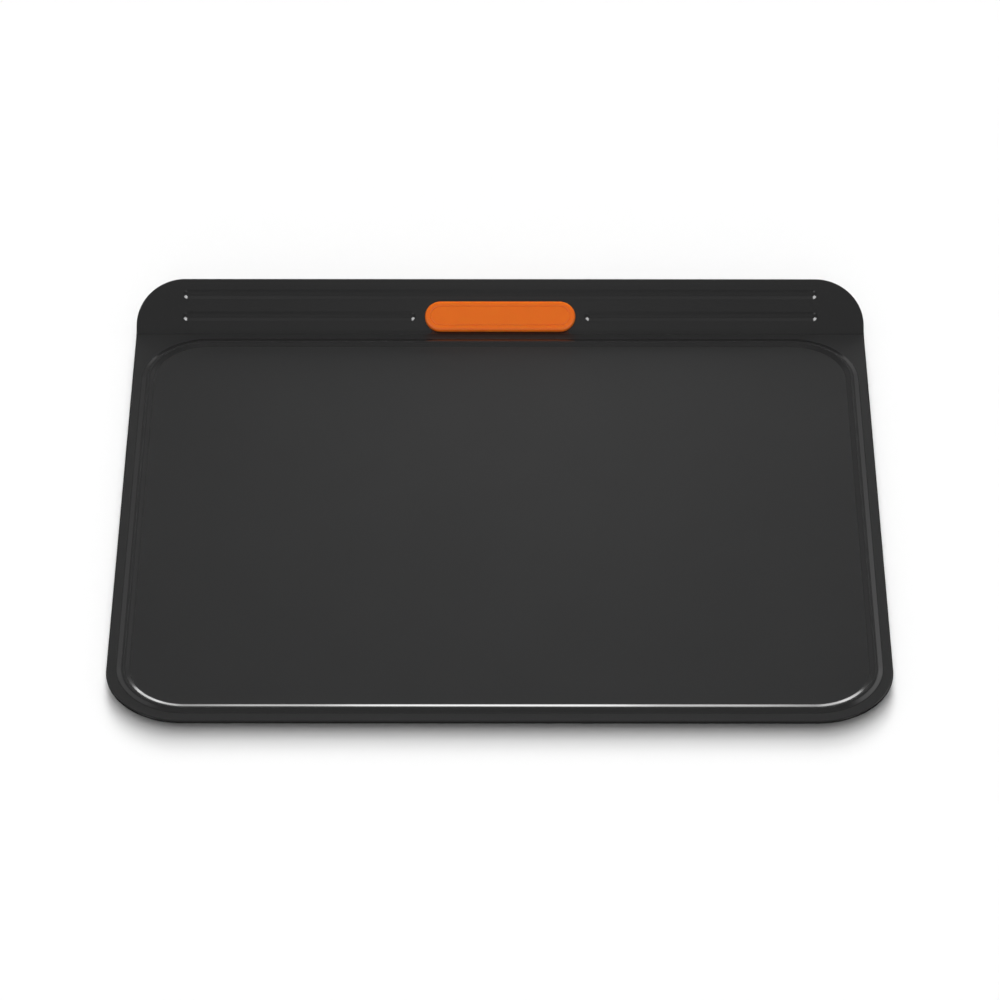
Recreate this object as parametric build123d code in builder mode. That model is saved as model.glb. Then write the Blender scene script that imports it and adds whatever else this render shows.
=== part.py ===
from build123d import *
import os
from math import cos, radians, sin, tan

# Insulated cookie sheet with a raised grip flange along the back.
# Millimetres, +Z up. The front edge faces -Y, and the sheet stands on its lower sheet at Z = 0.
# The origin is the middle of the footprint of the whole sheet.

# Overall sizes
overall_width = 406.0  # side to side, over the hems
panel_depth = 330.2  # front edge to the crease of the flange
front_corner_radius = 41.0
rim_height = 7.0  # from what it stands on to the underside of the rim

# Steel and folds
sheet_gauge = 0.6  # upper sheet
base_gauge = 0.5  # lower sheet
hem_leaf = 4.0  # width of the edge that is folded back under the lower sheet
hem_end_margin = 0.6  # end of the hem to the start of the flange's bend
seat_gap = 0.05  # between the lower sheet's lip and the inside of the fold

# Ridge pressed up round the baking surface
ridge_side_margin = 8.7  # outer edge to the crest, left and right
ridge_front_margin = 10.0  # front edge to the crest
ridge_back_margin = 9.1  # crease of the flange to the crest
ridge_corner_radius = 33.0  # of the crest line
ridge_half_base = 3.5
ridge_slope = 17.0  # degrees
ridge_foot_radius = 4.0
ridge_crest_radius = 5.0

# Grip flange, sloping up and back
flange_length = 31.75  # along the slope, crease to top edge
flange_tilt = 35.0  # degrees
flange_bend_radius = 6.0
flange_corner_radius = 26.8

# Stiffening ribs pressed up on the flange
rib_end = 177.5  # centre of the sheet to a rib's outer end
rib_grip_gap = 5.0  # end of the grip to a lower rib's inner end
lower_rib_height = 9.7  # crease to the rib's crest, along the slope
upper_rib_height = 22.6
rib_half_base = 2.88
rib_slope = 25.0  # degrees
rib_foot_radius = 1.2
rib_crest_radius = 4.0

# Silicone grip, a pad on each face of the flange joined through a slot
grip_length = 84.0
grip_width = 17.6
grip_centre_height = 9.3  # crease to the middle of the grip, along the slope
grip_front_thickness = 2.6
grip_back_thickness = 2.0
grip_edge_radius = 1.6
slot_length = 70.0
slot_width = 8.6
slot_clearance = 0.2  # on each side of the grip's neck
grip_groove_margin = 3.0  # edge of the pad to the fine line in its face
grip_groove_width = 0.6
grip_groove_depth = 0.35

# Lower sheet, a shallow tray under the baking surface
tray_lip = 5.4  # edge of the lip to the top of the wall
tray_wall_slope = 50.0  # degrees
tray_bend_radius = 1.5
tray_floor_margin = 3.0  # flat floor made with the wall
tray_back_gap = 1.0  # start of the flange's bend to the lip's back edge

cut_overrun = 2.0

# Heights and places that follow from the sizes
tilt = radians(flange_tilt)
rim_top = rim_height + sheet_gauge
hem_radius = sheet_gauge + base_gauge / 2
hem_centre = rim_top - hem_radius
bend_setback = flange_bend_radius * tan(tilt / 2)
overall_depth = panel_depth + flange_length * cos(tilt) + sheet_gauge * sin(tilt)
half_width = overall_width / 2
front_y = -overall_depth / 2
crease_y = front_y + panel_depth
hem_end_y = crease_y - bend_setback - hem_end_margin
flange_top = Vector(crease_y + flange_length * cos(tilt), rim_top + flange_length * sin(tilt))

flange_face = Plane(origin=(0, crease_y, rim_top), x_dir=(1, 0, 0), z_dir=(0, -sin(tilt), cos(tilt)))


def pressed_line(half_base, slope, foot_radius, crest_radius, depth):
    """Points and fillet radii of a pressed bead's section, on the face that lies depth below the upper one."""
    angle = radians(slope)
    foot = half_base - depth * tan(angle / 2)
    apex = half_base * tan(angle) - depth / cos(angle)
    reach = half_base + (foot_radius + sheet_gauge) * tan(angle / 2)
    points = [(-reach, -depth), (-foot, -depth), (0, apex), (foot, -depth), (reach, -depth)]
    return points, [foot_radius + depth, crest_radius - depth, foot_radius + depth]


def bead_section(half_base, slope, foot_radius, crest_radius):
    """Section of a pressed bead, one gauge thick, with the upper face of its feet at height 0."""
    upper, upper_radii = pressed_line(half_base, slope, foot_radius, crest_radius, 0)
    lower, lower_radii = pressed_line(half_base, slope, foot_radius, crest_radius, sheet_gauge)
    with BuildSketch() as section:
        with BuildLine():
            FilletPolyline(*upper, radius=upper_radii)
            FilletPolyline(*lower, radius=lower_radii)
            Line(upper[0], lower[0])
            Line(upper[-1], lower[-1])
        make_face()
    return section.sketch


# Crest line of the ridge
ridge_left = -half_width + ridge_side_margin
ridge_front = front_y + ridge_front_margin
ridge_back = crease_y - ridge_back_margin
ridge_reach = ridge_half_base + (ridge_foot_radius + sheet_gauge) * tan(radians(ridge_slope) / 2)
ridge_centre_y = (ridge_front + ridge_back) / 2
ridge_span_x = -2 * ridge_left
ridge_span_y = ridge_back - ridge_front
ridge_section = bead_section(ridge_half_base, ridge_slope, ridge_foot_radius, ridge_crest_radius)

# Ribs of the flange, as the X of both ends and the height of the crest along the slope
rib_inner_end = grip_length / 2 + rib_grip_gap
rib_reach = rib_half_base + (rib_foot_radius + sheet_gauge) * tan(radians(rib_slope) / 2)
rib_section = bead_section(rib_half_base, rib_slope, rib_foot_radius, rib_crest_radius)
rib_half_section = split(rib_section, bisect_by=Plane.YZ)
ribs = [
    (-rib_end, rib_end, upper_rib_height),
    (-rib_end, -rib_inner_end, lower_rib_height),
    (rib_inner_end, rib_end, lower_rib_height),
]

# Upper sheet: baking surface, ridge, hemmed rim and grip flange in one pressing
with BuildPart() as upper_sheet:
    # Baking surface inside the ridge
    with BuildSketch(Plane.XY.offset(rim_height)):
        with Locations((0, ridge_centre_y)):
            RectangleRounded(
                ridge_span_x - 2 * ridge_reach,
                ridge_span_y - 2 * ridge_reach,
                ridge_corner_radius - ridge_reach,
            )
    extrude(amount=sheet_gauge)

    # Rim outside the ridge
    with BuildSketch(Plane.XY.offset(rim_height)):
        with BuildLine():
            FilletPolyline(
                (-half_width + hem_radius, hem_end_y),
                (-half_width + hem_radius, front_y + hem_radius),
                (half_width - hem_radius, front_y + hem_radius),
                (half_width - hem_radius, hem_end_y),
                radius=front_corner_radius - hem_radius,
            )
            Line((-half_width + hem_radius, hem_end_y), (half_width - hem_radius, hem_end_y))
        make_face()
        with Locations((0, ridge_centre_y)):
            RectangleRounded(
                ridge_span_x + 2 * ridge_reach,
                ridge_span_y + 2 * ridge_reach,
                ridge_corner_radius + ridge_reach,
                mode=Mode.SUBTRACT,
            )
    extrude(amount=sheet_gauge)

    # Ridge
    with BuildLine(Plane.XY.offset(rim_top)) as crest_line:
        FilletPolyline(
            (ridge_left, ridge_front),
            (-ridge_left, ridge_front),
            (-ridge_left, ridge_back),
            (ridge_left, ridge_back),
            radius=ridge_corner_radius,
            close=True,
        )
    crest_start = crest_line.line @ 0
    crest_tangent = crest_line.line % 0
    with BuildSketch(Plane(origin=crest_start, x_dir=Vector(0, 0, 1).cross(crest_tangent), z_dir=crest_tangent)):
        add(ridge_section)
    sweep()

    # Hem, folded down and back round the front and both sides
    with BuildLine(Plane.XY.offset(hem_centre)) as fold_line:
        FilletPolyline(
            (-half_width + hem_radius, hem_end_y),
            (-half_width + hem_radius, front_y + hem_radius),
            (half_width - hem_radius, front_y + hem_radius),
            (half_width - hem_radius, hem_end_y),
            radius=front_corner_radius - hem_radius,
        )
    with BuildSketch(Plane(origin=fold_line.line @ 0, x_dir=(1, 0, 0), z_dir=(0, -1, 0))):
        with BuildLine():
            fold_outside = CenterArc((0, 0), hem_radius, 90, 180)
            fold_inside = CenterArc((0, 0), base_gauge / 2, 90, 180)
            Line(fold_outside @ 0, fold_inside @ 0)
            leaf_outside = Line(fold_outside @ 1, (hem_leaf, -hem_radius))
            leaf_inside = Line(fold_inside @ 1, (hem_leaf, -base_gauge / 2))
            Line(leaf_outside @ 1, leaf_inside @ 1)
        make_face()
    sweep()

    # Bend and flange
    with BuildSketch(Plane.YZ):
        with BuildLine():
            upper_face = FilletPolyline(
                (hem_end_y, rim_top), (crease_y, rim_top), flange_top, radius=flange_bend_radius
            )
            lower_face = FilletPolyline(
                (hem_end_y, rim_height),
                (crease_y + sheet_gauge * tan(tilt / 2), rim_height),
                flange_top + sheet_gauge * Vector(sin(tilt), -cos(tilt)),
                radius=flange_bend_radius + sheet_gauge,
            )
            Line(upper_face @ 0, lower_face @ 0)
            Line(upper_face @ 1, lower_face @ 1)
        make_face()
    extrude(amount=half_width, both=True)
    flange_corners = upper_sheet.edges().filter_by(Axis((0, 0, 0), flange_face.z_dir))
    fillet(flange_corners, radius=flange_corner_radius)

    # Ribs, each a straight bead closed by half a turn of its section at both ends
    for left, right, height in ribs:
        with BuildSketch(flange_face):
            with Locations(((left + right) / 2, height)):
                SlotOverall(right - left, 2 * rib_reach)
        extrude(amount=-sheet_gauge, mode=Mode.SUBTRACT)
        rib_start = flange_face.from_local_coords((left + rib_reach, height, 0))
        rib_stop = flange_face.from_local_coords((right - rib_reach, height, 0))
        with BuildSketch(Plane(origin=rib_start, x_dir=flange_face.y_dir, z_dir=(1, 0, 0))):
            add(rib_section)
        extrude(amount=right - left - 2 * rib_reach)
        with BuildSketch(Plane(origin=rib_start, x_dir=flange_face.y_dir, z_dir=(1, 0, 0))):
            add(rib_half_section)
        revolve(axis=Axis(rib_start, flange_face.z_dir), revolution_arc=180)
        with BuildSketch(Plane(origin=rib_stop, x_dir=flange_face.y_dir, z_dir=(1, 0, 0))):
            add(rib_half_section)
        revolve(axis=Axis(rib_stop, -flange_face.z_dir), revolution_arc=180)

    # Slot that the grip passes through
    with BuildSketch(flange_face):
        with Locations((0, grip_centre_height)):
            SlotOverall(slot_length, slot_width)
    extrude(amount=-sheet_gauge - cut_overrun, mode=Mode.SUBTRACT)

# Lip of the lower sheet, inside the hem and up to the bend
lip_right = half_width - hem_radius - seat_gap
lip_front = front_y + hem_radius + seat_gap
lip_back = crease_y - bend_setback - tray_back_gap
lip_corner_radius = front_corner_radius - hem_radius - seat_gap
tray_slope = radians(tray_wall_slope)
tray_run = (rim_height - base_gauge) / tan(tray_slope)
tray_inset = tray_lip + tray_run + tray_floor_margin
wall_shift = base_gauge * tan(tray_slope / 2)

# Lower sheet: a shallow tray with its lip held in the hem
with BuildPart() as lower_sheet:
    # Lip, wall and edge of the floor
    with BuildLine() as lip_line:
        FilletPolyline(
            (-lip_right, lip_front),
            (lip_right, lip_front),
            (lip_right, lip_back),
            (-lip_right, lip_back),
            radius=lip_corner_radius,
            close=True,
        )
    lip_start = lip_line.line @ 0
    lip_tangent = lip_line.line % 0
    with BuildSketch(Plane(origin=lip_start, x_dir=Vector(0, 0, 1).cross(lip_tangent), z_dir=lip_tangent)):
        with BuildLine():
            tray_inside = FilletPolyline(
                (0, rim_height),
                (tray_lip, rim_height),
                (tray_lip + tray_run, base_gauge),
                (tray_inset, base_gauge),
                radius=[tray_bend_radius + base_gauge, tray_bend_radius],
            )
            tray_outside = FilletPolyline(
                (0, rim_height - base_gauge),
                (tray_lip - wall_shift, rim_height - base_gauge),
                (tray_lip + tray_run - wall_shift, 0),
                (tray_inset, 0),
                radius=[tray_bend_radius, tray_bend_radius + base_gauge],
            )
            Line(tray_inside @ 0, tray_outside @ 0)
            Line(tray_inside @ 1, tray_outside @ 1)
        make_face()
    sweep()

    # Floor
    with BuildSketch():
        with Locations((0, (lip_front + lip_back) / 2)):
            RectangleRounded(
                2 * lip_right - 2 * tray_inset,
                lip_back - lip_front - 2 * tray_inset,
                lip_corner_radius - tray_inset,
            )
    extrude(amount=base_gauge)

# Silicone grip: front pad, neck through the slot and back pad
with BuildPart() as grip:
    with BuildSketch(flange_face):
        with Locations((0, grip_centre_height)):
            SlotOverall(grip_length, grip_width)
    extrude(amount=grip_front_thickness)
    add(upper_sheet.part, mode=Mode.SUBTRACT)  # the pad is moulded over the flange's bend
    with BuildSketch(flange_face.offset(-sheet_gauge)):
        with Locations((0, grip_centre_height)):
            SlotOverall(grip_length, grip_width)
    extrude(amount=-grip_back_thickness)
    with BuildSketch(flange_face):
        with Locations((0, grip_centre_height)):
            SlotOverall(slot_length - 2 * slot_clearance, slot_width - 2 * slot_clearance)
    extrude(amount=-sheet_gauge)
    pad_faces = grip.faces().sort_by(Axis((0, 0, 0), flange_face.z_dir))
    fillet(pad_faces[0].edges() + pad_faces[-1].edges(), radius=grip_edge_radius)
    with BuildSketch(flange_face.offset(grip_front_thickness)):
        with Locations((0, grip_centre_height)):
            SlotOverall(grip_length - 2 * grip_groove_margin, grip_width - 2 * grip_groove_margin)
            SlotOverall(
                grip_length - 2 * (grip_groove_margin + grip_groove_width),
                grip_width - 2 * (grip_groove_margin + grip_groove_width),
                mode=Mode.SUBTRACT,
            )
    extrude(amount=-grip_groove_depth, mode=Mode.SUBTRACT)

os.makedirs("parts", exist_ok=True)

upper_sheet.part.label = "upper_sheet"
export_step(upper_sheet.part, "parts/upper_sheet.step")

lower_sheet.part.label = "lower_sheet"
export_step(lower_sheet.part, "parts/lower_sheet.step")

grip.part.label = "grip"
export_step(grip.part, "parts/grip.step")
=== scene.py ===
"""Insulated cookie sheet with a silicone grip, dressed for a studio picture.

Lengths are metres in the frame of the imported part: +X to the right, +Y from the open front edge towards
the grip flange and +Z up, with the sheet standing on Z = 0.
"""

from __future__ import annotations

import logging
import math
from collections.abc import Iterable, Sequence
from dataclasses import dataclass, field
from enum import Enum
from typing import Any

import bmesh
import bpy
from mathutils import Matrix, Vector


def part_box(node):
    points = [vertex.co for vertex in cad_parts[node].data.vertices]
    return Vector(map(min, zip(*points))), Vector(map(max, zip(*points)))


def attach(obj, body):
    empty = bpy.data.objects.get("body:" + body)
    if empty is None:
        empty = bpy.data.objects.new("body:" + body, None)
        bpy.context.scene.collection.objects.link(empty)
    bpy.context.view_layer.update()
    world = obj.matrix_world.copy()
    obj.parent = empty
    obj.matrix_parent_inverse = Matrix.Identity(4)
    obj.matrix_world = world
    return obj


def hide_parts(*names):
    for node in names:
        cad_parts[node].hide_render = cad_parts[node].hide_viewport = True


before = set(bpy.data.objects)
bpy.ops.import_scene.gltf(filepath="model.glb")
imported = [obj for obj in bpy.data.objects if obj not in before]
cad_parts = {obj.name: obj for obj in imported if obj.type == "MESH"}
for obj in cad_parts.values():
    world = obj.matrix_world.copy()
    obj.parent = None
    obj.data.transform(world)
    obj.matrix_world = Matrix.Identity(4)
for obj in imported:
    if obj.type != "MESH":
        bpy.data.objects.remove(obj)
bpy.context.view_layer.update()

MM = 0.001
QUARTER_TURN = 90.0
HALF_TURN = 180.0
BODY = "root"
NOISE_MIDDLE = 0.5
CUT_SEGMENTS = 2
CUT_ANGLE = 50.0
WELD_WIDTH = 0.004 * MM

Colour = tuple[float, float, float]
Point = tuple[float, float]
Row = list[bmesh.types.BMVert]

log = logging.getLogger("cookie_sheet")


class Value:
    """A socket of a shader that takes part in arithmetic."""

    def __init__(self, shader: Shader, socket: bpy.types.NodeSocket | None) -> None:
        """Wraps a socket.

        Args:
            shader: The shader that new Math nodes are added to.
            socket: The output socket that holds the value.
        """
        self.shader = shader
        self.socket = socket

    def _math(self, operation: str, first: Value | float, second: Value | float) -> Value:
        """Adds one Math node.

        Args:
            operation: The Math node's operation.
            first: Its first input.
            second: Its second input.

        Returns:
            The result.
        """
        return self.shader.add("ShaderNodeMath", {"operation": operation}, {0: first, 1: second}, "Value")

    def __add__(self, other: Value | float) -> Value:
        """Sum of the two."""
        return self._math("ADD", self, other)

    def __radd__(self, other: float) -> Value:
        """Sum, with a number on the left."""
        return self._math("ADD", other, self)

    def __sub__(self, other: Value | float) -> Value:
        """Difference of the two."""
        return self._math("SUBTRACT", self, other)

    def __rsub__(self, other: float) -> Value:
        """Difference, with a number on the left."""
        return self._math("SUBTRACT", other, self)

    def __mul__(self, other: Value | float) -> Value:
        """Product of the two."""
        return self._math("MULTIPLY", self, other)

    def __abs__(self) -> Value:
        """This value without its sign."""
        return self.shader.add("ShaderNodeMath", {"operation": "ABSOLUTE"}, {0: self}, "Value")


class Shader:
    """The node tree of a material or a world, and the one way that nodes are added to it."""

    def __init__(self, owner: bpy.types.Material | bpy.types.World) -> None:
        """Empties the owner's tree.

        Args:
            owner: The material or world whose nodes are made.
        """
        owner.use_nodes = True
        self.tree = owner.node_tree
        self.tree.nodes.clear()

    def add(
        self,
        kind: str,
        settings: dict[str, Any] | None = None,
        inputs: dict[str | int, Any] | None = None,
        output: str | int = 0,
    ) -> Value:
        """Adds a node.

        Args:
            kind: The node's type.
            settings: Its properties.
            inputs: Values or links of its sockets, by name or number.
            output: The socket to hand back.

        Returns:
            The chosen output of the new node.
        """
        node = self.tree.nodes.new(kind)
        for name, setting in (settings or {}).items():
            setattr(node, name, setting)
        for key, value in (inputs or {}).items():
            if isinstance(value, Value):
                self.tree.links.new(value.socket, node.inputs[key])
            else:
                node.inputs[key].default_value = value
        return Value(self, node.outputs[output] if node.outputs else None)

    def noise(self, place: Value, size: float, detail: float) -> Value:
        """Noise with features of one size, between 0 and 1 and mostly near NOISE_MIDDLE."""
        inputs = {"Vector": place, "Scale": 1 / size, "Detail": detail}
        return self.add("ShaderNodeTexNoise", {}, inputs, "Fac")

    def tint(self, colour: Colour, level: Value) -> Value:
        """The colour, darker or brighter by a level near 1."""
        return self.add("ShaderNodeVectorMath", {"operation": "SCALE"}, {0: colour, "Scale": level}, "Vector")

    def bump(self, height: Value, depth: float) -> Value:
        """The normal of a surface with a relief of the given depth."""
        return self.add("ShaderNodeBump", {}, {"Distance": depth, "Height": height}, "Normal")

    def principled(self, inputs: dict[str | int, Any]) -> Value:
        """A Principled shader with these inputs."""
        return self.add("ShaderNodeBsdfPrincipled", {}, inputs, "BSDF")

    def mix(self, share: Value, first: Value, second: Value) -> Value:
        """The first shader, covered by a share of the second."""
        return self.add("ShaderNodeMixShader", {}, {0: share, 1: first, 2: second}, "Shader")

    def part(self, vector: Value, axis: str) -> Value:
        """One part of a vector."""
        return self.add("ShaderNodeSeparateXYZ", {}, {0: vector}, axis)

    def step(self, value: Value, dark: float, bright: float) -> Value:
        """A smooth step from 0 at one value to 1 at another."""
        limits = {"Value": value, "From Min": dark, "From Max": bright}
        return self.add("ShaderNodeMapRange", {"interpolation_type": "SMOOTHSTEP"}, limits, "Result")

    def finish(self, kind: str, surface: Value) -> None:
        """Links the last shader to the output.

        Args:
            kind: The type of the output node.
            surface: The shader to show.
        """
        self.add(kind, {}, {"Surface": surface})


@dataclass(frozen=True)
class CoatedSteel:
    """Non-stick coating baked on steel.

    It is satin where the sheet is flat, glossier where it is pressed or bent, and rubbed matt on the part
    of the front fold below rub_top.
    """

    name: str = "coated_steel"
    colour: Colour = (0.0112, 0.0112, 0.0113)
    roughness: float = 0.13
    roughness_spread: float = 0.04
    index: float = 1.75
    satin_colour: Colour = (0.0138, 0.0138, 0.0139)
    satin_roughness: float = 0.31
    satin_index: float = 1.36
    satin_facing: tuple[float, float] = (0.985, 0.998)
    mottle_size: float = 28 * MM
    mottle_detail: float = 3.0
    mottle_strength: float = 0.10
    grain_size: float = 0.35 * MM
    grain_detail: float = 2.0
    grain_depth: float = 0.0016 * MM
    rub_top: float = 7.45 * MM
    rub_fade: float = 0.2 * MM
    rub_facing: tuple[float, float] = (-0.3, -0.6)

    def material(self) -> bpy.types.Material:
        """Builds the coating.

        Returns:
            The material.
        """
        material = bpy.data.materials.new(self.name)
        shader = Shader(material)
        place = shader.add("ShaderNodeTexCoord", {}, {}, "Object")
        mottle = shader.noise(place, self.mottle_size, self.mottle_detail) - NOISE_MIDDLE
        grain = shader.noise(place, self.grain_size, self.grain_detail)
        level = 1 + mottle * self.mottle_strength + (grain - NOISE_MIDDLE) * self.mottle_strength
        spread = mottle * self.roughness_spread
        colour = shader.tint(self.colour, level)
        bump = shader.bump(grain, self.grain_depth)
        satin = shader.principled({
            "Base Color": shader.tint(self.satin_colour, level),
            "Roughness": self.satin_roughness + spread,
            "IOR": self.satin_index,
            "Normal": bump,
        })
        glossy = shader.principled({
            "Base Color": colour,
            "Roughness": self.roughness + spread,
            "IOR": self.index,
            "Normal": bump,
        })
        rubbed = shader.principled({"Base Color": colour, "Roughness": 1.0, "Specular IOR Level": 0.0})
        normal = shader.add("ShaderNodeTexCoord", {}, {}, "Normal")
        flat = shader.step(shader.part(normal, "Z"), *self.satin_facing)
        low = shader.step(shader.part(place, "Z"), self.rub_top, self.rub_top - self.rub_fade)
        front = shader.step(shader.part(normal, "Y"), *self.rub_facing)
        coat = shader.mix(flat, glossy, satin)
        shader.finish("ShaderNodeOutputMaterial", shader.mix(low * front, coat, rubbed))
        return material


@dataclass(frozen=True)
class Silicone:
    """Matt moulded silicone."""

    name: str = "silicone"
    colour: Colour = (0.72, 0.137, 0.001)
    roughness: float = 0.5
    index: float = 1.41
    glow: float = 0.4
    glow_depth: float = 1.5 * MM
    glow_shares: Colour = (1.0, 0.3, 0.1)
    cloud_size: float = 9 * MM
    cloud_strength: float = 0.06
    pore_size: float = 0.25 * MM
    pore_depth: float = 0.006 * MM
    detail: float = 2.0

    def material(self) -> bpy.types.Material:
        """Builds the silicone.

        Returns:
            The material.
        """
        material = bpy.data.materials.new(self.name)
        shader = Shader(material)
        place = shader.add("ShaderNodeTexCoord", {}, {}, "Object")
        cloud = (shader.noise(place, self.cloud_size, self.detail) - NOISE_MIDDLE) * self.cloud_strength
        pore = shader.noise(place, self.pore_size, self.detail)
        surface = shader.principled({
            "Base Color": shader.tint(self.colour, 1 + cloud),
            "Roughness": self.roughness + cloud,
            "IOR": self.index,
            "Subsurface Weight": self.glow,
            "Subsurface Scale": self.glow_depth,
            "Subsurface Radius": self.glow_shares,
            "Normal": shader.bump(pore, self.pore_depth),
        })
        shader.finish("ShaderNodeOutputMaterial", surface)
        return material


def new_object(name: str, data: bpy.types.ID) -> bpy.types.Object:
    """Makes an object of a mesh, a lamp or a camera, and links it to the scene."""
    made = bpy.data.objects.new(name, data)
    bpy.context.scene.collection.objects.link(made)
    return made


class Skin:
    """One side of a sheet or a closed moulding, put together from rows of points."""

    def __init__(self) -> None:
        """Starts an empty surface."""
        self.mesh = bmesh.new()

    def row(self, points: Iterable[Vector]) -> Row:
        """Adds a row of points.

        Args:
            points: Their places.

        Returns:
            The new vertices, in order.
        """
        return [self.mesh.verts.new(point) for point in points]

    def bridge(self, first: Row, second: Row, closed: bool) -> None:
        """Joins two rows of as many vertices with a strip of quads.

        Args:
            first: One row.
            second: The other row.
            closed: Whether the last vertices join the first ones.
        """
        count = len(first)
        for i in range(count if closed else count - 1):
            j = (i + 1) % count
            self.mesh.faces.new((first[i], first[j], second[j], second[i]))

    def stack(self, rows: Sequence[Row], closed: bool) -> None:
        """Joins each row to the next.

        Args:
            rows: Rows of as many vertices.
            closed: Whether the rows are closed loops.
        """
        for first, second in zip(rows, rows[1:]):
            self.bridge(first, second, closed)

    def cap(self, loop: Row) -> None:
        """Closes a loop with one flat face."""
        self.mesh.faces.new(loop)

    def fill(self, *loops: Row) -> None:
        """Fills the flat region between an outer loop and the loops inside it.

        Args:
            *loops: Closed loops of vertices in one plane, the outer one first.
        """
        edges = []
        for loop in loops:
            for first, second in zip(loop, [*loop[1:], loop[0]]):
                edge = self.mesh.edges.get((first, second))
                edges.append(edge or self.mesh.edges.new((first, second)))
        bmesh.ops.triangle_fill(self.mesh, use_beauty=True, use_dissolve=False, edges=edges)

    def piece(self, name: str, up: bool) -> bpy.types.Object:
        """Turns the surface into an object with smooth shading.

        Args:
            name: The object's name.
            up: Whether the largest face looks up.

        Returns:
            The new object, in the scene.
        """
        faces = self.mesh.faces[:]
        bmesh.ops.recalc_face_normals(self.mesh, faces=faces)
        largest = max(faces, key=lambda face: face.calc_area())
        if (largest.normal.z > 0) != up:
            bmesh.ops.reverse_faces(self.mesh, faces=faces)
        for face in faces:
            face.smooth = True
        data = bpy.data.meshes.new(name)
        self.mesh.to_mesh(data)
        self.mesh.free()
        return new_object(name, data)


def thicken(piece: bpy.types.Object, gauge: float, cut_bevel: float) -> None:
    """Gives a skin its thickness under its face, and breaks its cut edges.

    The weld closes the faces of no area that the bevel leaves where its edges meet.

    Args:
        piece: The skin.
        gauge: The sheet's thickness.
        cut_bevel: Width of the broken edge.
    """
    solid = piece.modifiers.new("gauge", "SOLIDIFY")
    solid.thickness = gauge
    solid.offset = -1.0
    solid.use_even_offset = True
    bevel = piece.modifiers.new("cut_edge", "BEVEL")
    bevel.width = cut_bevel
    bevel.segments = CUT_SEGMENTS
    bevel.limit_method = "ANGLE"
    bevel.angle_limit = math.radians(CUT_ANGLE)
    bevel.harden_normals = True
    weld = piece.modifiers.new("weld", "WELD")
    weld.merge_threshold = WELD_WIDTH


def arc_angles(start: float, stop: float, steps: int) -> list[float]:
    """Evenly spaced angles, both ends included.

    Args:
        start: First angle, in degrees.
        stop: Last angle, in degrees.
        steps: Number of steps.

    Returns:
        The angles in radians.
    """
    return [math.radians(start + (stop - start) * i / steps) for i in range(steps + 1)]


def arc(x: float, y: float, radius: float, start: float, turn: float, steps: int) -> list[Point]:
    """An anticlockwise arc.

    Args:
        x: Centre.
        y: Centre.
        radius: Radius.
        start: Angle of its first point, in degrees.
        turn: Angle that it covers, in degrees.
        steps: Number of steps.

    Returns:
        Its points, both ends included.
    """
    angles = arc_angles(start, start + turn, steps)
    return [(x + radius * math.cos(a), y + radius * math.sin(a)) for a in angles]


def rounded_rectangle(
    left: float, right: float, front: float, back: float, radius: float, steps: int
) -> list[Point]:
    """A rectangle with rounded corners.

    Args:
        left: X of the left corners' centres.
        right: X of the right corners' centres.
        front: Y of the front corners' centres.
        back: Y of the back corners' centres.
        radius: Radius of the corners.
        steps: Number of steps of each corner.

    Returns:
        Its points, anticlockwise.
    """
    corners = [(left, front, 180), (right, front, 270), (right, back, 0), (left, back, 90)]
    return [point for x, y, start in corners for point in arc(x, y, radius, start, QUARTER_TURN, steps)]


def stadium(left: float, right: float, middle: float, radius: float, steps: int) -> list[Point]:
    """A stadium.

    Args:
        left: X of the left half turn's centre.
        right: X of the right half turn's centre.
        middle: Y of both.
        radius: Radius of the half turns.
        steps: Number of steps of each half turn.

    Returns:
        Its points, anticlockwise.
    """
    turns = [(left, 90), (right, -90)]
    return [point for x, start in turns for point in arc(x, middle, radius, start, HALF_TURN, steps)]


@dataclass(frozen=True)
class Bead:
    """Half of a pressed bead's section, from its crest to the flat."""

    half_base: float
    slope: float
    foot_radius: float
    crest_radius: float
    crest_steps: int = 8
    foot_steps: int = 6
    flat_margin: float = 0.3 * MM

    def rise(self) -> float:
        """Height of the crest."""
        angle = math.radians(self.slope)
        return self.half_base * math.tan(angle) - self.crest_radius * (1 / math.cos(angle) - 1)

    def reach(self) -> float:
        """Distance from the crest to where the foot meets the flat."""
        return self.half_base + self.foot_radius * math.tan(math.radians(self.slope) / 2)

    def points(self) -> list[Point]:
        """Distance from the crest and height of each point, ending on the flat past the foot."""
        centre = self.rise() - self.crest_radius
        crest = [
            (self.crest_radius * math.sin(a), centre + self.crest_radius * math.cos(a))
            for a in arc_angles(0, self.slope, self.crest_steps)
        ]
        foot = [
            (self.reach() - self.foot_radius * math.sin(a), self.foot_radius * (1 - math.cos(a)))
            for a in arc_angles(self.slope, 0, self.foot_steps)
        ]
        return [*crest, *foot, (self.reach() + self.flat_margin, 0.0)]


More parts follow.
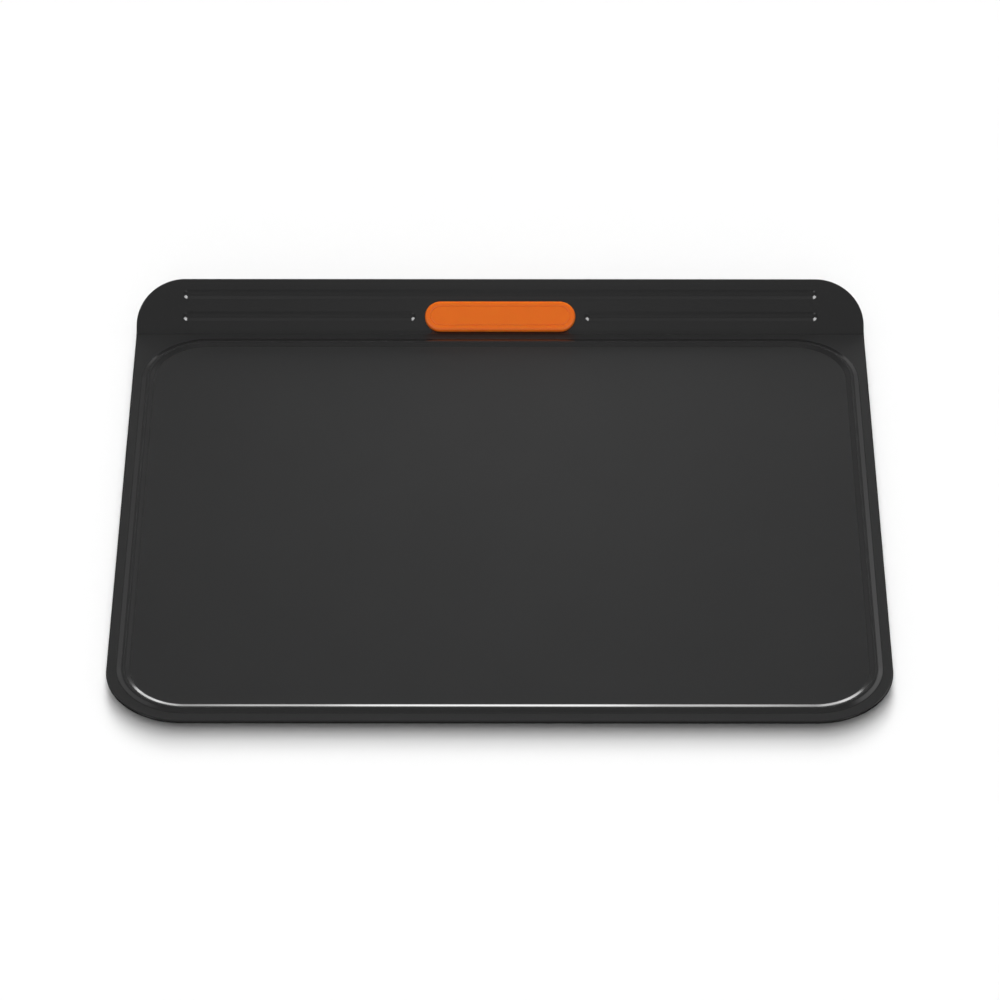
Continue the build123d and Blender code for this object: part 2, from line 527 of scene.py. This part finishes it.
@dataclass
class UpperSheet:
    """Baking surface, ridge, hemmed rim and grip flange, in one pressing.

    Heights on the flange are distances up its slope from the crease, where its plane meets the panel's.
    """

    gauge: float = 0.6 * MM
    cut_bevel: float = 0.12 * MM
    panel_depth: float = 330.2 * MM
    front_corner_radius: float = 41.0 * MM
    hem_radius: float = 0.85 * MM
    hem_leaf: float = 4.0 * MM
    hem_end_margin: float = 0.6 * MM
    flat_margin: float = 0.6 * MM
    side_margin: float = 8.7 * MM
    front_margin: float = 10.0 * MM
    back_margin: float = 9.1 * MM
    ridge_corner_radius: float = 33.0 * MM
    ridge: Bead = Bead(half_base=3.5 * MM, slope=17.0, foot_radius=4.0 * MM, crest_radius=5.0 * MM)
    bend_radius: float = 6.0 * MM
    tilt: float = 35.0
    flange_length: float = 31.75 * MM
    flange_corner_radius: float = 26.8 * MM
    rib: Bead = Bead(half_base=2.88 * MM, slope=25.0, foot_radius=1.2 * MM, crest_radius=4.0 * MM)
    rib_end: float = 177.5 * MM
    rib_inner_end: float = 47.0 * MM
    lower_rib_height: float = 9.7 * MM
    upper_rib_height: float = 22.6 * MM
    slot_length: float = 70.0 * MM
    slot_width: float = 8.6 * MM
    slot_height: float = 9.3 * MM
    corner_steps: int = 36
    turn_steps: int = 24
    fold_steps: int = 14
    half_width: float = field(init=False)
    front: float = field(init=False)
    crease: float = field(init=False)
    top: float = field(init=False)
    bend_start: float = field(init=False)
    hem_end: float = field(init=False)

    def __post_init__(self) -> None:
        """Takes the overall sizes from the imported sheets."""
        low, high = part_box("upper_sheet")
        self.half_width = (high.x - low.x) / 2
        self.front = low.y
        self.crease = self.front + self.panel_depth
        self.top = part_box("lower_sheet")[1].z + self.gauge
        self.bend_start = self.crease - self.setback()
        self.hem_end = self.bend_start - self.hem_end_margin

    def setback(self) -> float:
        """Distance from the crease to either end of the bend."""
        return self.bend_radius * math.tan(math.radians(self.tilt) / 2)

    def slot_straight(self) -> float:
        """Half the distance between the centres of the slot's half turns."""
        return (self.slot_length - self.slot_width) / 2

    def on_flange(self, x: float, height: float, rise: float = 0.0) -> Vector:
        """A point of the flange.

        Args:
            x: Place along the flange.
            height: Distance up the slope from the crease.
            rise: Distance from the flange's face.

        Returns:
            The point.
        """
        tilt = math.radians(self.tilt)
        across = height * math.cos(tilt) - rise * math.sin(tilt)
        up = height * math.sin(tilt) + rise * math.cos(tilt)
        return Vector((x, self.crease + across, self.top + up))

    def bend_rise(self, height: float) -> float:
        """How far the bend lifts the sheet's face off the plane of the flange.

        Args:
            height: Distance up the slope from the crease.

        Returns:
            The rise, zero above the bend.
        """
        return max(0.0, self.setback() - height) ** 2 / (2 * self.bend_radius)

    def _ridge_loop(self, offset: float, height: float) -> list[Vector]:
        """A closed loop beside the ridge's crest line.

        Args:
            offset: Distance outside the crest line, or inside it if negative.
            height: Height over the sheet's face.

        Returns:
            Its points, anticlockwise.
        """
        right = self.half_width - self.side_margin - self.ridge_corner_radius
        front = self.front + self.front_margin + self.ridge_corner_radius
        back = self.crease - self.back_margin - self.ridge_corner_radius
        radius = self.ridge_corner_radius + offset
        outline = rounded_rectangle(-right, right, front, back, radius, self.corner_steps)
        return [Vector((x, y, self.top + height)) for x, y in outline]

    def _hem_row(self, outward: float, height: float) -> list[Vector]:
        """A row of the hem, from the left side's back end round the front to the right side's.

        Args:
            outward: Distance outside the middle line of the fold.
            height: Height over the sheet's face.

        Returns:
            Its points.
        """
        radius = self.front_corner_radius - self.hem_radius + outward
        right = self.half_width - self.front_corner_radius
        middle = self.front + self.front_corner_radius
        outline = [
            (-right - radius, self.hem_end),
            *arc(-right, middle, radius, 180, QUARTER_TURN, self.corner_steps),
            *arc(right, middle, radius, 270, QUARTER_TURN, self.corner_steps),
            (right + radius, self.hem_end),
        ]
        return [Vector((x, y, self.top + height)) for x, y in outline]

    def _stadium(self, left: float, right: float, middle: float, radius: float, rise: float) -> list[Vector]:
        """A stadium on the flange.

        Args:
            left: X of the left half turn's centre.
            right: X of the right half turn's centre.
            middle: Height of both up the slope.
            radius: Radius of the half turns.
            rise: Distance from the flange's face.

        Returns:
            Its points, anticlockwise.
        """
        outline = stadium(left, right, middle, radius, self.turn_steps)
        return [self.on_flange(x, height, rise) for x, height in outline]

    def _add_panel(self, skin: Skin) -> Row:
        """Adds the baking surface and the ridge round it.

        Args:
            skin: The surface.

        Returns:
            The loop where the ridge meets the rim.
        """
        half = self.ridge.points()
        section = [(-offset, height) for offset, height in reversed(half[1:])] + half
        loops = [skin.row(self._ridge_loop(offset, height)) for offset, height in section]
        skin.stack(loops, closed=True)
        skin.cap(loops[0])
        return loops[-1]

    def _add_hem(self, skin: Skin) -> tuple[Row, Row]:
        """Adds the fold round the front and both sides, and the leaf under it.

        Args:
            skin: The surface.

        Returns:
            The row where the rim begins and the row where the fold begins.
        """
        fold = [
            (self.hem_radius * math.cos(a), self.hem_radius * (math.sin(a) - 1))
            for a in arc_angles(90, -90, self.fold_steps)
        ]
        section = [(-self.flat_margin, 0.0), *fold, (-self.hem_leaf, -2 * self.hem_radius)]
        rows = [skin.row(self._hem_row(outward, height)) for outward, height in section]
        skin.stack(rows, closed=False)
        return rows[0], rows[1]

    def _add_bend(self, skin: Skin, rim: Row, fold: Row) -> Row:
        """Adds the strip from the end of the hem over the bend to the flange.

        Args:
            skin: The surface.
            rim: The row where the rim begins.
            fold: The row where the fold begins.

        Returns:
            The row where the strip meets the flange.
        """
        ends = (-self.half_width, self.half_width)
        left, right = skin.row(Vector((x, self.hem_end, self.top)) for x in ends)
        strip = [[left, fold[0], rim[0], rim[-1], fold[-1], right]]
        places = [vertex.co.x for vertex in strip[0]]
        bend = [
            (self.bend_start + self.bend_radius * math.sin(a), self.bend_radius * (1 - math.cos(a)))
            for a in arc_angles(0, self.tilt, self.fold_steps)
        ]
        for y, height in bend:
            strip.append(skin.row(Vector((x, y, self.top + height)) for x in places))
        strip.append(skin.row(self.on_flange(x, self.setback() + self.flat_margin) for x in places))
        skin.stack(strip, closed=False)
        return strip[-1]

    def _add_rib(self, skin: Skin, left: float, right: float, height: float) -> Row:
        """Adds one rib of the flange.

        Args:
            skin: The surface.
            left: X of its left end.
            right: X of its right end.
            height: Height of its crest up the slope.

        Returns:
            The loop where it meets the flat of the flange.
        """
        reach = self.rib.reach()
        rows = [
            skin.row(self._stadium(left + reach, right - reach, height, offset, rise))
            for offset, rise in self.rib.points()[1:]
        ]
        skin.stack(rows, closed=True)
        skin.cap(rows[0])
        return rows[-1]

    def _add_flange(self, skin: Skin, foot: Row) -> None:
        """Adds the flange with its ribs and its slot.

        Args:
            skin: The surface.
            foot: The row where it meets the bend.
        """
        radius = self.flange_corner_radius
        middle = self.flange_length - radius
        outline = [
            *arc(self.half_width - radius, middle, radius, 0, QUARTER_TURN, self.corner_steps),
            *arc(radius - self.half_width, middle, radius, 90, QUARTER_TURN, self.corner_steps),
        ]
        edge = skin.row(self.on_flange(x, height) for x, height in outline)
        straight = self.slot_straight()
        slot = skin.row(self._stadium(-straight, straight, self.slot_height, self.slot_width / 2, 0.0))
        ribs = [
            self._add_rib(skin, -self.rib_end, self.rib_end, self.upper_rib_height),
            self._add_rib(skin, -self.rib_end, -self.rib_inner_end, self.lower_rib_height),
            self._add_rib(skin, self.rib_inner_end, self.rib_end, self.lower_rib_height),
        ]
        skin.fill([*foot, *edge], slot, *ribs)

    def build(self) -> bpy.types.Object:
        """Builds the sheet.

        Returns:
            Its object.
        """
        skin = Skin()
        ridge_foot = self._add_panel(skin)
        rim, fold = self._add_hem(skin)
        skin.fill(rim, ridge_foot)
        self._add_flange(skin, self._add_bend(skin, rim, fold))
        piece = skin.piece("upper_sheet_skin", up=True)
        thicken(piece, self.gauge, self.cut_bevel)
        return piece


@dataclass
class LowerSheet:
    """Shallow tray under the baking surface, with its lip in the hem."""

    gauge: float = 0.5 * MM
    cut_bevel: float = 0.1 * MM
    corner_radius: float = 40.1 * MM
    lip: float = 5.4 * MM
    wall_slope: float = 50.0
    bend_radius: float = 1.5 * MM
    flat_margin: float = 0.6 * MM
    corner_steps: int = 36
    bend_steps: int = 6

    def section(self, height: float) -> list[Point]:
        """The upper face of the lip, wall and floor.

        Args:
            height: Height of the lip's upper face.

        Returns:
            Distance in from the lip's edge and height of each point.
        """
        slope = math.radians(self.wall_slope)
        run = (height - self.gauge) / math.tan(slope)
        outer, inner = self.bend_radius + self.gauge, self.bend_radius
        shoulder = self.lip - outer * math.tan(slope / 2)
        foot = self.lip + run + inner * math.tan(slope / 2)
        return [
            (0.0, height),
            (shoulder - self.flat_margin, height),
            *[
                (shoulder + outer * math.sin(a), height - outer * (1 - math.cos(a)))
                for a in arc_angles(0, self.wall_slope, self.bend_steps)
            ],
            *[
                (foot - inner * math.sin(a), self.gauge + inner * (1 - math.cos(a)))
                for a in arc_angles(self.wall_slope, 0, self.bend_steps)
            ],
            (foot + self.flat_margin, self.gauge),
        ]

    def build(self) -> bpy.types.Object:
        """Builds the tray.

        Returns:
            Its object.
        """
        low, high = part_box("lower_sheet")
        left, right = low.x + self.corner_radius, high.x - self.corner_radius
        front, back = low.y + self.corner_radius, high.y - self.corner_radius
        skin = Skin()
        rows = []
        for inset, height in self.section(high.z):
            radius = self.corner_radius - inset
            outline = rounded_rectangle(left, right, front, back, radius, self.corner_steps)
            rows.append(skin.row(Vector((x, y, height)) for x, y in outline))
        skin.stack(rows, closed=True)
        skin.cap(rows[-1])
        piece = skin.piece("lower_sheet_skin", up=True)
        thicken(piece, self.gauge, self.cut_bevel)
        return piece


@dataclass
class Grip:
    """Silicone grip: a pad on each face of the flange and the neck between them."""

    sheet: UpperSheet
    length: float = 84.0 * MM
    width: float = 17.6 * MM
    front_thickness: float = 2.6 * MM
    back_thickness: float = 2.0 * MM
    edge_radius: float = 1.6 * MM
    slot_clearance: float = 0.2 * MM
    groove_margin: float = 3.0 * MM
    groove_width: float = 0.6 * MM
    groove_depth: float = 0.35 * MM
    crown: float = 0.05 * MM
    edge_steps: int = 8
    turn_steps: int = 32

    def _stadium(self, straight: float, radius: float, rise: float) -> list[Vector]:
        """A stadium about the middle of the grip.

        Args:
            straight: Half the distance between its half turns' centres.
            radius: Radius of the half turns.
            rise: Distance from the flange's face. The row at zero follows the sheet over its bend.

        Returns:
            Its points, anticlockwise.
        """
        points = []
        for x, height in stadium(-straight, straight, self.sheet.slot_height, radius, self.turn_steps):
            seat = self.sheet.bend_rise(height) if rise == 0 else rise
            points.append(self.sheet.on_flange(x, height, seat))
        return points

    def _pad_rows(self, skin: Skin, section: Sequence[Point]) -> list[Row]:
        """Adds rows of a pad.

        Args:
            skin: The surface.
            section: Distance in from the pad's outline and from the flange's face of each row.

        Returns:
            The rows.
        """
        straight = (self.length - self.width) / 2
        return [skin.row(self._stadium(straight, self.width / 2 - inset, rise)) for inset, rise in section]

    def _back_section(self) -> list[Point]:
        """The back pad's section, from its flat face over the rounded edge to the flange."""
        bottom = -self.sheet.gauge - self.back_thickness
        edge = self.edge_radius
        turn = [
            (edge - edge * math.sin(a), bottom + edge - edge * math.cos(a))
            for a in arc_angles(0, 90, self.edge_steps)
        ]
        return [(2 * edge, bottom), *turn, (0.0, -self.sheet.gauge)]

    def _front_section(self) -> list[Point]:
        """The front pad's section, from the flange over the rounded edge and the groove to its flat face."""
        top, edge = self.front_thickness, self.edge_radius
        turn = [
            (edge - edge * math.cos(a), top - edge + edge * math.sin(a))
            for a in arc_angles(0, 90, self.edge_steps)
        ]
        groove, width, bottom = self.groove_margin, self.groove_width, top - self.groove_depth
        face = [
            (groove - width / 2, top + self.crown / 2),
            (groove, top),
            (groove + width / 4, bottom),
            (groove + width * 3 / 4, bottom),
            (groove + width, top),
            (groove + width * 3 / 2, top),
            (self.width / 4, top),
        ]
        return [(0.0, 0.0), *turn, *face]

    def build(self) -> bpy.types.Object:
        """Builds the grip.

        Returns:
            Its object.
        """
        skin = Skin()
        neck = (self.sheet.slot_straight(), self.sheet.slot_width / 2 - self.slot_clearance)
        rows = self._pad_rows(skin, self._back_section())
        rows += [skin.row(self._stadium(*neck, rise)) for rise in (-self.sheet.gauge, 0.0)]
        rows += self._pad_rows(skin, self._front_section())
        skin.stack(rows, closed=True)
        skin.cap(rows[0])
        skin.cap(rows[-1])
        return skin.piece("grip_moulding", up=False)


def turned(about_z: float, about_x: float) -> Matrix:
    """A turn about X and then one about Z, both in degrees."""
    return Matrix.Rotation(math.radians(about_z), 4, "Z") @ Matrix.Rotation(math.radians(about_x), 4, "X")


class Sees(Enum):
    """Which rays a lamp reaches."""

    DIFFUSE = "diffuse"
    GLOSS = "gloss"


@dataclass(frozen=True)
class Sun:
    """A far, soft lamp. Azimuth 0 is behind the sheet and 90 to its right."""

    name: str
    azimuth: float
    elevation: float
    spread: float
    level: float
    sees: Sees

    def add(self) -> None:
        """Adds the lamp. Its level is the brightness that it gives to white paper that faces it."""
        data = bpy.data.lights.new(self.name, "SUN")
        data.angle = math.radians(self.spread)
        data.energy = self.level * math.pi
        lamp = new_object(self.name, data)
        lamp.rotation_euler = turned(-self.azimuth, self.elevation - QUARTER_TURN).to_euler()
        lamp.visible_diffuse = self.sees is Sees.DIFFUSE
        lamp.visible_glossy = self.sees is Sees.GLOSS


@dataclass(frozen=True)
class Softbox:
    """A softbox near the sheet, seen only in the gloss."""

    name: str
    place: tuple[float, float, float]
    size: tuple[float, float]
    level: float

    def add(self) -> None:
        """Adds the lamp, turned to the middle of the sheet. Its level is its own brightness."""
        data = bpy.data.lights.new(self.name, "AREA")
        data.shape = "RECTANGLE"
        data.size, data.size_y = self.size
        data.energy = self.level * math.pi * data.size * data.size_y
        lamp = new_object(self.name, data)
        lamp.location = self.place
        lamp.rotation_euler = Vector(self.place).to_track_quat("Z", "Y").to_euler()
        lamp.visible_diffuse = False


@dataclass(frozen=True)
class Panel:
    """A bright panel of the studio, seen only in the gloss. Angles are in degrees, azimuth 0 behind."""

    azimuth: float
    half_width: float
    low: float
    high: float
    side_fade: float
    top_fade: float
    level: float

    def light(self, shader: Shader, azimuth: Value, elevation: Value) -> Value:
        """Its light in each direction.

        Args:
            shader: The sky's shader.
            azimuth: The direction's azimuth, in degrees.
            elevation: Its elevation, in degrees.

        Returns:
            The light.
        """
        off = HALF_TURN - abs(HALF_TURN - abs(azimuth - self.azimuth))
        across = shader.step(off, self.half_width + self.side_fade, self.half_width)
        below = shader.step(elevation, self.high + self.top_fade, self.high)
        above = shader.step(elevation, self.low - self.top_fade, self.low)
        return across * below * above * self.level


@dataclass
class Studio:
    """White floor, painted dark grey where it is seen in reflections, soft light and the camera. Angles are
    in degrees.
    """

    elevation: float = 38.632
    yaw: float = -0.052
    target: tuple[float, float, float] = (0.04 * MM, 12.13 * MM, 0.0)
    distance: float = 2860 * MM
    lens: float = 191.2
    sensor: float = 36.0
    clip_end: float = 100.0
    floor_half: float = 8.0
    floor_colour: float = 0.73
    # Floor level seen in reflections: painted shade, darker than the floor's own colour.
    floor_reflected_shade: float = 0.1
    fill: float = 0.425
    overhead: float = 0.13
    lamps: tuple[Sun, ...] = (
        # Azimuth, elevation, spread and level.
        Sun("front_low", 180.0, 12.0, 40.0, 0.25, Sees.DIFFUSE),
        Sun("front", 180.0, 56.0, 34.0, 0.235, Sees.DIFFUSE),
        Sun("top", 180.0, 88.0, 36.0, 0.17, Sees.DIFFUSE),
        Sun("back_high", 0.0, 58.0, 30.0, 0.27, Sees.DIFFUSE),
        Sun("back_middle", 0.0, 37.0, 24.0, 0.31, Sees.DIFFUSE),
        Sun("back_low", 0.0, 24.0, 20.0, 0.53, Sees.DIFFUSE),
        Sun("rib_left", -130.0, 28.6, 26.0, 0.27, Sees.GLOSS),
        Sun("rib_right", 130.0, 28.6, 26.0, 0.27, Sees.GLOSS),
        Sun("rib_left_front", -152.0, 25.0, 20.0, 0.17, Sees.GLOSS),
        Sun("rib_right_front", 152.0, 25.0, 20.0, 0.17, Sees.GLOSS),
    )
    boxes: tuple[Softbox, ...] = (
        # Place and size in metres, and level.
        Softbox("backlight", (-0.01, 1.5, 0.32), (0.24, 0.48), 2.4),
        Softbox("backlight_middle", (0.0, 1.51, 0.2), (0.46, 0.3), 1.3),
        Softbox("backlight_wide", (0.035, 1.52, 0.32), (0.69, 0.48), 1.7),
        Softbox("backlight_top", (0.14, 1.53, 0.61), (0.22, 0.10), 4.5),
    )
    panels: tuple[Panel, ...] = (
        # Azimuth, half width, low and high edge, fades at the sides and at the top and bottom, and level.
        Panel(0.0, 0.0, -20.0, 37.0, 6.5, 8.0, 0.205),
        Panel(0.0, 40.0, -20.0, 40.0, 20.0, 14.0, 0.07),
        Panel(0.0, 180.0, 70.0, 90.0, 1.0, 8.0, 0.07),
        Panel(180.0, 60.0, 22.0, 30.0, 30.0, 34.0, 0.20),
        Panel(180.0, 60.0, 60.0, 80.0, 30.0, 10.0, 0.03),
        Panel(180.0, 0.0, 60.0, 80.0, 10.0, 10.0, 0.12),
        Panel(-52.0, 22.0, 33.0, 36.0, 12.0, 8.0, 0.36),
        Panel(52.0, 22.0, 33.0, 36.0, 12.0, 8.0, 0.81),
        Panel(-44.0, 8.0, 44.0, 60.0, 6.0, 8.0, 0.40),
        Panel(43.0, 9.0, 44.0, 54.0, 6.0, 8.0, 0.82),
        Panel(-17.0, 3.0, 8.0, 17.0, 4.0, 4.0, 0.25),
        Panel(19.0, 4.0, 8.0, 24.0, 5.0, 5.0, 0.30),
        Panel(0.0, 0.0, 52.0, 66.0, 5.0, 6.0, 0.11),
    )

    def add_camera(self) -> None:
        """Adds the camera and makes it the scene's."""
        data = bpy.data.cameras.new("camera")
        data.lens = self.lens
        data.sensor_width = self.sensor
        data.clip_end = self.clip_end
        camera = new_object("camera", data)
        turn = turned(-self.yaw, QUARTER_TURN - self.elevation)
        back = Matrix.Translation((0, 0, self.distance))
        camera.matrix_world = Matrix.Translation(self.target) @ turn @ back
        bpy.context.scene.camera = camera

    def add_floor(self) -> None:
        """Adds the white floor, with painted shade where it is seen in reflections."""
        half = self.floor_half
        data = bpy.data.meshes.new("floor")
        corners = [(-half, -half, 0), (half, -half, 0), (half, half, 0), (-half, half, 0)]
        data.from_pydata(corners, [], [(0, 1, 2, 3)])
        floor = new_object("floor", data)
        material = bpy.data.materials.new("white_floor_with_reflected_shade")
        shader = Shader(material)
        gloss = shader.add("ShaderNodeLightPath", {}, {}, "Is Glossy Ray")
        # Glossy rays see the floor at a darker level: painted shade in the sheet's reflections of the floor.
        level = self.floor_colour + gloss * (self.floor_reflected_shade - self.floor_colour)
        colour = shader.add("ShaderNodeCombineColor", {}, {"Red": level, "Green": level, "Blue": level})
        paper = shader.add("ShaderNodeBsdfDiffuse", {}, {"Color": colour}, "BSDF")
        shader.finish("ShaderNodeOutputMaterial", paper)
        data.materials.append(material)

    def add_sky(self) -> None:
        """Adds the surrounding light: white to the camera, even on matt surfaces, panels in the gloss."""
        world = bpy.data.worlds.new("studio")
        world.cycles.sampling_method = "NONE"
        bpy.context.scene.world = world
        shader = Shader(world)
        direction = shader.add("ShaderNodeTexCoord", {}, {}, "Generated")
        x, y, z = [shader.part(direction, axis) for axis in "XYZ"]
        azimuth = shader.add("ShaderNodeMath", {"operation": "ARCTAN2"}, {0: x, 1: y}) * math.degrees(1)
        elevation = shader.add("ShaderNodeMath", {"operation": "ARCSINE"}, {0: z}) * math.degrees(1)
        gloss_light = self.overhead
        for panel in self.panels:
            gloss_light = panel.light(shader, azimuth, elevation) + gloss_light
        seen = shader.add("ShaderNodeLightPath", {}, {}, "Is Camera Ray")
        gloss = shader.add("ShaderNodeLightPath", {}, {}, "Is Glossy Ray")
        strength = seen + gloss * gloss_light + (1 - seen - gloss) * self.fill
        light = shader.add("ShaderNodeBackground", {}, {"Strength": strength}, "Background")
        shader.finish("ShaderNodeOutputWorld", light)

    def build(self) -> None:
        """Builds the floor, the light and the camera."""
        self.add_floor()
        self.add_sky()
        for lamp in (*self.lamps, *self.boxes):
            lamp.add()
        self.add_camera()
        bpy.context.scene.view_settings.view_transform = "Standard"


def dress(piece: bpy.types.Object, node: str, material: bpy.types.Material) -> None:
    """Gives a piece its finish and its place in the frame.

    Args:
        piece: The piece.
        node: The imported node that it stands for.
        material: Its finish.
    """
    piece.data.materials.append(material)
    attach(piece, BODY)
    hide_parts(node)
    log.info("%s stands for %s in %s", piece.name, node, material.name)


def main() -> None:
    """Builds and dresses the cookie sheet and its studio."""
    logging.basicConfig(level=logging.INFO)
    coating = CoatedSteel()
    under_coating = CoatedSteel(name="coated_steel_under", roughness=0.3, rub_top=0.0)
    silicone = Silicone()
    upper = UpperSheet()
    dress(upper.build(), "upper_sheet", coating.material())
    dress(LowerSheet().build(), "lower_sheet", under_coating.material())
    dress(Grip(upper).build(), "grip", silicone.material())
    Studio().build()


if __name__ == "__main__":
    main()
